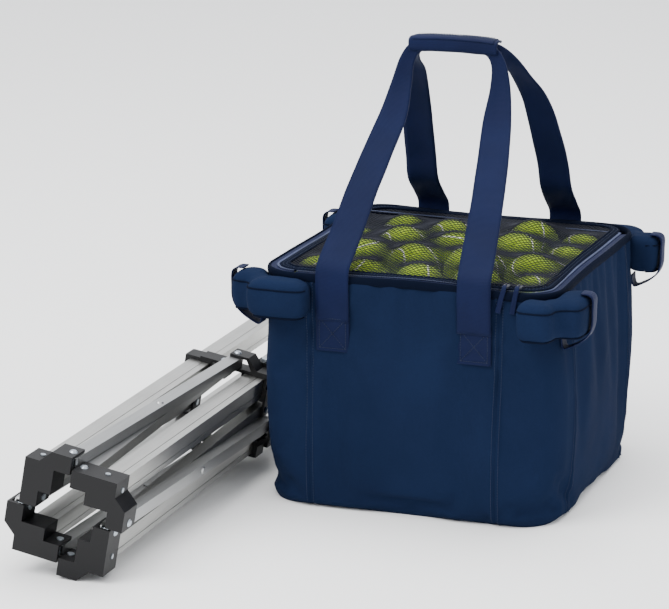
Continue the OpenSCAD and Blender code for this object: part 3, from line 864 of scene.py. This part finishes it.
def net_surface():
    """A stretched membrane laid over the balls: no lower than they are, and pulled smooth between them."""
    n = 141
    xs = np.linspace(-NET_W, NET_W, n)
    ys = np.linspace(NET_Y - NET_D, NET_Y + NET_D, n)
    gx, gy = np.meshgrid(xs, ys)
    floor = np.full_like(gx, 262.0)
    for bx, by, bz in TOP_BALLS:
        left = (BALL_R + 0.9) ** 2 - (gx - bx) ** 2 - (gy - by) ** 2
        floor = np.maximum(floor, np.where(left > 0, bz + np.sqrt(np.maximum(left, 0)), 0))
    edge = BAG_H - 0.8
    z = np.maximum(floor, edge)
    for _ in range(900):
        mid = 0.25 * (z[:-2, 1:-1] + z[2:, 1:-1] + z[1:-1, :-2] + z[1:-1, 2:]) - 0.012
        z[1:-1, 1:-1] = np.maximum(mid, floor[1:-1, 1:-1])
        z[0] = z[-1] = edge
        z[:, 0] = z[:, -1] = edge

    def height(x, y):
        i = min(max((x + NET_W) / (2 * NET_W) * (n - 1), 0), n - 1.001)
        j = min(max((y - NET_Y + NET_D) / (2 * NET_D) * (n - 1), 0), n - 1.001)
        a, b = int(i), int(j)
        fi, fj = i - a, j - b
        low = z[b, a] * (1 - fi) + z[b, a + 1] * fi
        high = z[b + 1, a] * (1 - fi) + z[b + 1, a + 1] * fi
        return low * (1 - fj) + high * fj

    return height


def inside_net(x, y):
    """Whether a cell's middle lies inside the net's rounded outline, with a little to spare."""
    spare = 1.5 - NET_CORNER_R
    dx = max(abs(x) - (NET_W + spare), 0)
    dy = max(abs(y - NET_Y) - (NET_D + spare), 0)
    return dx * dx + dy * dy <= NET_CORNER_R**2


def build_net():
    """Netting of square cells set diagonally."""
    height = net_surface()
    half = NET_CELL / math.sqrt(2)
    reach = int((NET_W + NET_D) / half) + 2
    index, verts, faces = {}, [], []

    def corner(i, j):
        if (i, j) not in index:
            x, y = (i - j) * half, NET_Y + (i + j) * half
            wave = 0.5 * noise.noise(Vector((x * 0.03, y * 0.03, 4.0)))
            index[(i, j)] = len(verts)
            verts.append((x + wave, y + wave, height(x, y)))
        return index[(i, j)]

    for i in range(-reach, reach):
        for j in range(-reach, reach):
            if inside_net((i - j) * half, NET_Y + (i + j + 1) * half):
                faces.append((corner(i, j), corner(i + 1, j), corner(i + 1, j + 1), corner(i, j + 1)))
    obj = add_mesh("lid_netting", verts, faces, NET)
    modifier(obj, "WIREFRAME", thickness=NET_THREAD * MM, use_even_offset=False, use_replace=True)
    place(obj, "lid", "net", ("lid_net",))


def loop_points(w, d, r):
    """Points and outward directions round a rounded rectangle in the lid, from the front left."""
    out = []
    for side in range(4):
        half, away = (w, d) if side % 2 == 0 else (d, w)
        front = [(v * (half - r), -away, 0, -1) for v in np.linspace(-1, 1, 44, endpoint=False)]
        for b in np.linspace(0, math.pi / 2, 12, endpoint=False):
            nx, ny = math.sin(b), -math.cos(b)
            front.append((half - r + r * nx, r - away + r * ny, nx, ny))
        for x, y, nx, ny in front:
            tx, ty = quarter_turned(side, x, y)
            out.append(((tx, ty + NET_Y), quarter_turned(side, nx, ny)))
    return out


def lid_point(x, y, z):
    """Point of the lid, which follows half of the rim's stray height."""
    return np.array([x, y, z + 0.5 * rim_shift(x, y)[1]])


def build_border():
    """Bound band round the net, piped along its inner edge and stitched twice."""
    w = RIM_W / 2 - LID_GAP
    d = (RIM_D - LID_GAP - LID_BACK_GAP) / 2
    band = [(-5, -1.3), (5.8, -1.3), (6.2, -0.6), (5.6, 0.2), (2, 0.9), (-2, 0.9), (-5, 0.6), (-5.5, -0.3)]
    for name, inset, r, z, profile, nodes in (
        ("lid_band", 5.5, 26, BAG_H - 0.2, band, ("lid_border",)),
        ("lid_piping", 10, 22, BAG_H + 0.6, oval(1.2, 1.2, 8), ()),
    ):
        path = [(lid_point(*at, z), out) for at, out in loop_points(w - inset, d - inset, r)]
        place(sweep(name, path, profile, CLOTH_SIDE), "lid", "bag_fabric", nodes)
    rows = [[lid_point(*at, BAG_H + 0.75) for at, _ in loop_points(w - off, d - off, 28 - off)]
            for off in (3.2, 7.6)]
    place(stitches("lid_stitching", rows, [(0, 0, 1)] * 2, pitch=4.2), "lid", "bag_fabric")


def build_hinge_strip():
    """Cloth sewn to the back wall and to the lid's band."""
    verts, uvs = [], []
    cross = [(178.6, 272.0), (179.2, 277.0), (178.0, 279.8), (175.0, 280.6), (171.5, 280.4), (167.5, 280.6)]
    xs = np.linspace(-128, 128, 60)
    for x in xs:
        for y, z in cross:
            verts.append((x, y + 0.3 * math.sin(x * 0.09), z + 0.5 * rim_shift(x, 175.0)[1]))
            uvs.append((z * MM, x * MM))
    obj = add_mesh("lid_hinge_strip", verts, grid_faces(len(xs), len(cross)), CLOTH_SIDE, uvs)
    modifier(obj, "SOLIDIFY", thickness=1.2 * MM, offset=0.0)
    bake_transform(obj)


# ---------------------------------------------------------------- balls


PITCH_X, PITCH_Y = 69.0, 70.2


def all_balls():
    """The top balls, then the lattice below them as far as it clears them."""
    d = 2 * BALL_R
    layer = math.sqrt(d * d - (PITCH_X / 2) ** 2 - (PITCH_Y / 2) ** 2) + 0.2
    out = list(TOP_BALLS)
    for k in range(5):
        n = 4 if k % 2 == 0 else 5
        h = (n - 1) / 2
        for i in range(n):
            for j in range(n):
                p = ((i - h) * PITCH_X, (j - h) * PITCH_Y, 5.4 + BALL_R + k * layer)
                if abs(p[0]) + abs(p[1]) < 270 and min(math.dist(p, t) for t in TOP_BALLS) > d + 0.2:
                    out.append(p)
    return out


def build_balls():
    """Felt balls, with a sunken seam on each one that shows."""
    rng = np.random.default_rng(7)
    parts = []
    t = np.linspace(0, 2 * math.pi, 72, endpoint=False)
    a, b = 0.75, 0.25
    curve = unit_rows(np.column_stack([
        a * np.cos(t) + b * np.cos(3 * t), a * np.sin(t) - b * np.sin(3 * t),
        2 * math.sqrt(a * b) * np.sin(2 * t)]))
    for k, (x, y, z) in enumerate(all_balls()):
        top = k < len(TOP_BALLS)
        turn = np.array(Matrix.Rotation(rng.uniform(0, 6.28), 3, Vector(rng.normal(size=3)).normalized()))
        bm = bmesh.new()
        bmesh.ops.create_icosphere(bm, subdivisions=5 if top else 3, radius=1.0)
        for v in bm.verts:
            n = np.array(v.co)
            gap = np.min(np.linalg.norm(curve - turn.T @ n, axis=1)) * BALL_R
            fuzz = 0.25 * noise.noise(Vector(n * 14.0) + Vector((k, 0, 0)))
            r = BALL_R - 0.15 + fuzz - (0.9 * math.exp(-((gap / 2.0) ** 2)) if top else 0.0)
            v.co = (Vector(n * r) + Vector((x, y, z))) * MM
        mesh = mesh_from(bm, f"ball_{k}")
        shade_smooth(mesh)
        mesh.materials.append(FELT)
        parts.append(new_object(f"ball_{k}", mesh))
        if top:
            line = (turn @ curve.T).T * (BALL_R - 0.9) + np.array([x, y, z])
            parts.append(tube(f"seam_{k}", line, 1.25, SEAM_RUBBER, sides=6, closed=True))
    place(join("tennis_ball_heap", parts), "bag", "ball_felt", ("tennis_balls",))


build_balls()
build_net()
build_border()
build_hinge_strip()

# ---------------------------------------------------------------- handles

# each stop is x, y, z and the width of the strap there
FRONT_LINE = [
    (85, -183.2, 226, 40), (85, -184.2, 250, 40), (85, -184.8, 276, 40), (84.5, -182.0, 290, 40),
    (82.8, -167, 305, 40), (80, -143, 328, 39), (76, -108, 365, 38), (70, -70, 403, 37),
    (63.5, -36, 440, 34), (60.5, -15, 474, 25), (56, -8, 502, 18),
    (45, -6, 518, 15), (25, -5.5, 521.5, 14),
]
BACK_LINE = [
    (85, 183.2, 226, 40), (85, 184.2, 250, 40), (85, 184.8, 276, 40), (85, 181.5, 291, 40),
    (85, 165, 306, 40), (85, 141, 329, 40), (84, 129, 360, 39), (81, 110, 398, 38),
    (75, 84, 445, 33), (66, 55, 478, 25), (58.5, 26, 502, 18),
    (46, 9, 517, 15), (25, 5.5, 520, 14),
]


def width_direction(z, side):
    """Across the strap: along X on the rising parts, turning upright along the grip."""
    f = min(max((z - 488) / 30.0, 0), 1)
    f = f * f * (3 - 2 * f)
    return (side * (f - 1), 0.0, -f - 0.001)


def build_handle(name, line, node, seed):
    """One webbing from the bag up the left strap, along the grip and down the right strap."""
    stops = [(-x, y, z, *width_direction(z, -1), w) for x, y, z, w in line]
    stops += [(x, y, z, *width_direction(z, 1), w) for x, y, z, w in reversed(line)]
    obj = ribbon(name, stops, WEB, thickness=2.2, count=190, curl=0.10, sag=1.0, seed=seed)
    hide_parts(node)
    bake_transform(obj)


build_handle("front_carry_strap", FRONT_LINE, "front_handle", 1.0)
build_handle("back_carry_strap", BACK_LINE, "back_handle", 5.0)


GRIP_Z, WRAP_HALF = 521.0, 54.0


def wrap_section(start, end, count, scale):
    """Points of the wrap's rounded section between two angles in degrees."""
    points = [squared_circle(a, 0.62) for a in np.linspace(math.radians(start), math.radians(end), count)]
    return [(12.0 * scale * y, 0.5 + 9.4 * scale * z) for y, z in points]


def wrap_bow(x):
    """How far the wrap bows up over its middle."""
    return 2.0 * (1 - (x / WRAP_HALF) ** 2) - 1.0


def build_wrap():
    """Rolled hook-and-loop wrap: open towards the back grip, with a loose flap edge along the top."""
    roll = wrap_section(38, 322, 40, 1.0) + wrap_section(322, 38, 40, 0.76)
    flap = wrap_section(40, 150, 18, 1.10) + wrap_section(150, 40, 18, 1.0)
    parts = []
    for tag, section, half, seed in (("roll", roll, WRAP_HALF, 0.0), ("flap", flap, 50.0, 2.0)):
        verts, uvs = [], []
        xs = np.linspace(-half, half, 48)
        for x in xs:
            pinch = 1.0 - 0.06 * abs(x / WRAP_HALF) ** 6
            for k, (y, z) in enumerate(section):
                wob = 0.35 * noise.noise(Vector((x * 0.06, k * 0.1, seed)))
                verts.append((x, y * pinch + wob, GRIP_Z + z * pinch + wrap_bow(x) + wob))
                uvs.append((k * 1.3 * MM, x * MM))
        size = (len(xs), len(section))
        faces = grid_faces(*size, closed_cols=True) + end_caps(*size)
        parts.append(recalc(add_mesh("wrap_" + tag, verts, faces, WEB, uvs)))
    obj = join("grip_wrap_roll", parts)
    place(obj, "front_handle", "webbing", ("grip_wrap",))
    rows = [[(x, y, GRIP_Z + 11.2 + wrap_bow(x)) for x in np.linspace(-47, 47, 30)] for y in (-4, 4)]
    place(stitches("wrap_stitching", rows, [(0, 0, 1)] * 2), "front_handle", "webbing")


build_wrap()


def build_patches():
    """A square of webbing over each strap's end, stitched round and across."""
    parts, lines, normals = [], [], []
    for side in (-1, 1):
        for hand in (-1, 1):
            cx = hand * STRAP_X
            wall = {z: wall_at(cx, z, side) for z in (190, 200, 211, 222, 232)}
            stops = [(cx, y + side * 1.5, z, 1, 0, 0, STRAP_W) for z, y in wall.items()]
            seed = hand + 3 * side
            parts.append(ribbon(f"patch_{side}_{hand}", stops, WEB, thickness=1.8, count=24, seed=seed))

            def at(x, z):
                return (cx + x, np.interp(z, list(wall), list(wall.values())) + side * 2.7, z)

            box = [(-16, 194), (16, 194), (16, 229), (-16, 229), (-16, 194)]
            for path in (box, [(-16, 194), (16, 229)], [(16, 194), (-16, 229)]):
                lines.append([at(*p) for p in path])
                normals.append((0, side, 0))
    place(join("strap_patch_set", parts), "bag", "webbing", ("strap_patches",))
    place(stitches("patch_stitching", lines, normals, pitch=3.0, length=2.2, width=0.5), "bag", "webbing")


build_patches()

# ---------------------------------------------------------------- corner hoods, padded

HOOD_Z, HOOD_LONG, HOOD_SHORT, HOOD_OUT = 251.0, 68.0, 38.0, 37.0
HOOD_CORNERS = {(-1, -1): "front_left", (1, -1): "front_right", (1, 1): "back_right", (-1, 1): "back_left"}
MOUTH_Z = 229.8
HOOD_MOVE_CAP = 4.5


def pillow(bm, centre, half, power=4.2, steps=28):
    """A rounded block, as a closed form."""
    rows = []
    for i in range(steps + 1):
        v = math.pi * (i / steps - 0.5)
        row = []
        for j in range(2 * steps):
            u = 2 * math.pi * j / (2 * steps)
            d = Vector((math.cos(v) * math.cos(u), math.cos(v) * math.sin(u), math.sin(v)))
            k = sum(abs(c) ** power for c in d) ** (-1 / power)
            row.append(bm.verts.new([(centre[a] + d[a] * k * half[a]) * MM for a in range(3)]))
        rows.append(row)
    for a, b in zip(rows, rows[1:]):
        for j in range(len(a)):
            bm.faces.new((a[j], a[(j + 1) % len(a)], b[(j + 1) % len(a)], b[j]))


def swell(obj):
    """Puffs a hood up with cloth under pressure, each point's movement capped."""
    start = np.array([v.co[:] for v in obj.data.vertices])
    done = run_cloth(
        obj, 20, pressure=4.0, gravity=0, quality=5, tension_stiffness=12, compression_stiffness=12,
        bending_stiffness=0.8)
    obj.modifiers.clear()
    obj.data.vertices.foreach_set("co", (start + capped(done - start, HOOD_MOVE_CAP * MM)).ravel())
    obj.data.update()


def build_hood(name, sx, sy):
    """Two pillows and a corner made one by remeshing, swollen, creased and opened below."""
    ax, ay = (HOOD_LONG, HOOD_SHORT) if sx * sy > 0 else (HOOD_SHORT, HOOD_LONG)
    cx, cy = sx * RIM_W / 2, sy * RIM_D / 2
    bm = bmesh.new()
    reach = (HOOD_OUT + 2.0) / 2
    pillow(bm, (cx - sx * (ax - 9) / 2, cy + sy * (reach - 4), HOOD_Z), ((ax + 9) / 2 - 2, reach, 23.0))
    pillow(bm, (cx + sx * (reach - 4), cy - sy * (ay - 9) / 2, HOOD_Z), (reach, (ay + 9) / 2 - 2, 23.0))
    pillow(bm, (cx - sx * 2, cy - sy * 2, HOOD_Z), (17.0, 17.0, 21.5), power=3.0)
    obj = new_object(name, mesh_from(bm, name))
    remesh = modifier(obj, "REMESH", mode="VOXEL", voxel_size=4.2 * MM)
    merged = obj.evaluated_get(bpy.context.evaluated_depsgraph_get())
    fresh = bpy.data.meshes.new_from_object(merged)
    obj.modifiers.remove(remesh)
    obj.data = fresh
    swell(obj)
    bm = bmesh.new()
    bm.from_mesh(obj.data)
    bmesh.ops.smooth_vert(
        bm, verts=bm.verts, factor=0.5, use_axis_x=True, use_axis_y=True, use_axis_z=True)
    for v in bm.verts:
        p = v.co / MM
        wrinkle = 1.1 * noise.noise(p * 0.045) + 0.5 * noise.noise(p * 0.12)
        v.co += v.normal * wrinkle * MM
    # the mouth is open below, for the end of a bracket arm
    everything = bm.verts[:] + bm.edges[:] + bm.faces[:]
    bmesh.ops.bisect_plane(
        bm, geom=everything, plane_co=(0, 0, MOUTH_Z * MM), plane_no=(0, 0, 1), clear_inner=True)
    bm.to_mesh(obj.data)
    bm.free()
    obj.data.materials.clear()
    obj.data.materials.append(CLOTH)
    shade_smooth(obj.data)
    modifier(obj, "SOLIDIFY", thickness=2.6 * MM, offset=-1.0)
    modifier(obj, "SUBSURF", levels=1, render_levels=1)
    return obj


def hood_seams(hoods):
    """Bound hem at the mouth and a piped seam near the top, lying on each hood's surface."""
    parts = []
    for (sx, sy), obj in hoods.items():
        bm = bmesh.new()
        bm.from_mesh(obj.data)
        tree = BVHTree.FromBMesh(bm)
        heart = Vector((sx * (RIM_W / 2 - 30), sy * (RIM_D / 2 - 30), 0))
        base = math.atan2(sy, sx)
        for z, radius in ((231.0, 1.5), (264.0, 1.0)):
            path = []
            for k in range(64):
                a = base + math.radians(-78 + 156 * k / 63)
                away = Vector((math.cos(a), math.sin(a), 0))
                hit = tree.ray_cast((heart + away * 160 + Vector((0, 0, z))) * MM, -away)[0]
                if hit is None:
                    continue
                p = np.array(hit) / MM
                if abs(p[0]) > RIM_W / 2 + 1 or abs(p[1]) > RIM_D / 2 + 1:
                    path.append(p + np.array([away.x, away.y, 0]) * 0.2)
            if len(path) > 8:
                smooth, _ = catmull(path[::2], 90)
                parts.append(tube(f"hood_seam_{sx}_{sy}_{z}", smooth, radius, CLOTH_SIDE))
        bm.free()
    place(join("hood_binding", parts), "bag", "bag_fabric")


def build_hoods():
    hoods = {}
    for (sx, sy), tag in HOOD_CORNERS.items():
        obj = build_hood("corner_hood_" + tag, sx, sy)
        place(obj, "bag", "bag_fabric", ("corner_hoods",))
        hoods[(sx, sy)] = obj
    hood_seams(hoods)


build_hoods()


# a loop's route, as distances out from the wall and heights
LOOP_LINE = [
    (24, 275.8), (33, 275.2), (38.0, 270), (38.4, 255), (38.2, 240), (34, 229), (25, 220), (14, 213.5),
    (6, 210.5), (3.2, 216), (2.6, 225)]


def build_loops():
    """Webbing loops over the outer face of each hood's side arm and back under it."""
    parts = []
    for sx in (-1, 1):
        for sy in (-1, 1):
            arm = HOOD_SHORT if sx * sy > 0 else HOOD_LONG
            y = sy * (RIM_D - arm) / 2
            stops = [(sx * (RIM_W / 2 + out), y + 1.5 * math.sin(z * 0.07 + sx), z, 0, 1, 0, 18)
                     for out, z in LOOP_LINE]
            parts.append(ribbon(
                f"loop_{sx}_{sy}", stops, WEB, thickness=1.6, count=60, curl=0.04, seed=sx + 2 * sy))
    place(join("hood_loop_set", parts), "bag", "webbing", ("hood_loops",))


build_loops()

# ---------------------------------------------------------------- zip sliders and pulls


SLIDER_Z = 282.5
# the slider's half width and half height along its length
SLIDER_WAIST = (
    (-6.4, 2.6, 0.6), (-5.6, 3.6, 1.5), (-2.5, 3.9, 1.9), (0.5, 3.1, 2.0), (3.5, 3.9, 1.9), (5.4, 3.4, 1.5),
    (6.2, 2.2, 0.6))


def build_slider(side, x, lean):
    """Waisted slider body with a bail on top, and its limp tape hanging over the rim."""
    y0 = -(RIM_D / 2 - LID_GAP / 2) + 0.3
    verts = []
    for v, w, h in SLIDER_WAIST:
        for a in np.linspace(0, 2 * math.pi, 16, endpoint=False):
            c, s = squared_circle(a, 0.5)
            verts.append((x + w * c, y0 + v, SLIDER_Z + h * s))
    size = (len(SLIDER_WAIST), 16)
    faces = grid_faces(*size, closed_cols=True) + end_caps(*size)
    body = recalc(add_mesh("slider_body", verts, faces, ZIP_METAL))
    arch = [(x, y0 - 3.5 + 6 * t, 284.2 + 1.7 * math.sin(math.pi * t)) for t in np.linspace(0, 1, 14)]
    bail = tube("slider_bail", arch, 0.7, ZIP_METAL)
    node = f"zip_slider_{side}"
    place(join(f"zip_slider_body_{side}", [body, bail]), node, "zinc", (node,))
    wall = -RIM_D / 2 - 2.2
    route = (
        (0, y0 - 4.0, 284.6, 4.4), (0, wall + 1.2, 284.0, 4.6), (0, wall - 1.2, 280.5, 5.2),
        (0.35, wall - 1.6, 272, 5.8), (0.7, wall - 1.2, 262, 6.2), (1, wall - 0.8, 253.5, 6.4))
    stops = [(x + part * lean, y, z, 1, 0, 0, width) for part, y, z, width in route]
    pull = ribbon(f"zip_tape_pull_{side}", stops, WEB, thickness=1.5, count=44, seed=len(side))
    place(pull, node, "webbing", (f"zip_pull_{side}",))
    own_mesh(pull)


build_slider("left", 119.0, lean=-7.0)
build_slider("right", RIM_W / 2 - CORNER_R, lean=-5.0)

# ---------------------------------------------------------------- frame parts, kept from the CAD

FINISH = {
    "leg_": (TUBE, 0.9), "outer_bar_": (BAR, 0.7), "inner_bar_": (BAR, 0.7), "top_bracket_": (NYLON, 0.6),
    "slider_": (NYLON, 0.6), "bracket_rivets_": (ZINC, 0.25), "slider_rivets_": (ZINC, 0.25),
    "lock_button_": (ZINC, 0.3), "caster_fork_": (NYLON, 0.5), "caster_wheel_": (RUBBER, 0.6),
}


def finish_cad():
    """Gives each frame part its material and softens its edges."""
    for name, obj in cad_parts.items():
        for start in sorted(FINISH, key=len, reverse=True):
            if name.startswith(start):
                mat, width = FINISH[start]
                for s in obj.material_slots:
                    s.material = mat
                if not obj.material_slots:
                    obj.data.materials.append(mat)
                modifier(obj, "BEVEL", width=width * MM, segments=2, limit_method="ANGLE",
                         angle_limit=math.radians(50), harden_normals=False)
                break


finish_cad()

# ---------------------------------------------------------------- floor and light


FLOOR_HALF = 14000.0


def build_stage():
    """A pale floor, an even studio sky and three soft lamps, placed in metres."""
    mat = Mat("pale_floor")
    mat.set(Roughness=0.75, Specular_IOR_Level=0.25)
    mat.bsdf.inputs["Base Color"].default_value = srgb(247, 247, 246)
    marks = np.linspace(-FLOOR_HALF, FLOOR_HALF, 5)
    obj = add_mesh("floor", [(x, y, -0.3) for y in marks for x in marks], grid_faces(5, 5), mat.m)
    world = bpy.data.worlds.new("studio")
    world.use_nodes = True
    back = world.node_tree.nodes["Background"]
    back.inputs["Color"].default_value = (0.95, 0.965, 1.0, 1)
    back.inputs["Strength"].default_value = 1.65
    bpy.context.scene.world = world
    for name, place_m, size, power, target in (
        ("key", (-1.6, -2.2, 3.0), 2.2, 130.0, (0, 0, 0.2)),
        ("fill", (2.8, -1.8, 2.0), 2.6, 5.0, (0, 0, 0.2)),
        ("top", (0.2, 0.6, 3.2), 2.4, 100.0, (0, 0, 0.1)),
    ):
        data = bpy.data.lights.new(name, "AREA")
        data.size = size
        data.energy = power
        aim(new_object(name, data), place_m, Vector(target) - Vector(place_m))


build_stage()
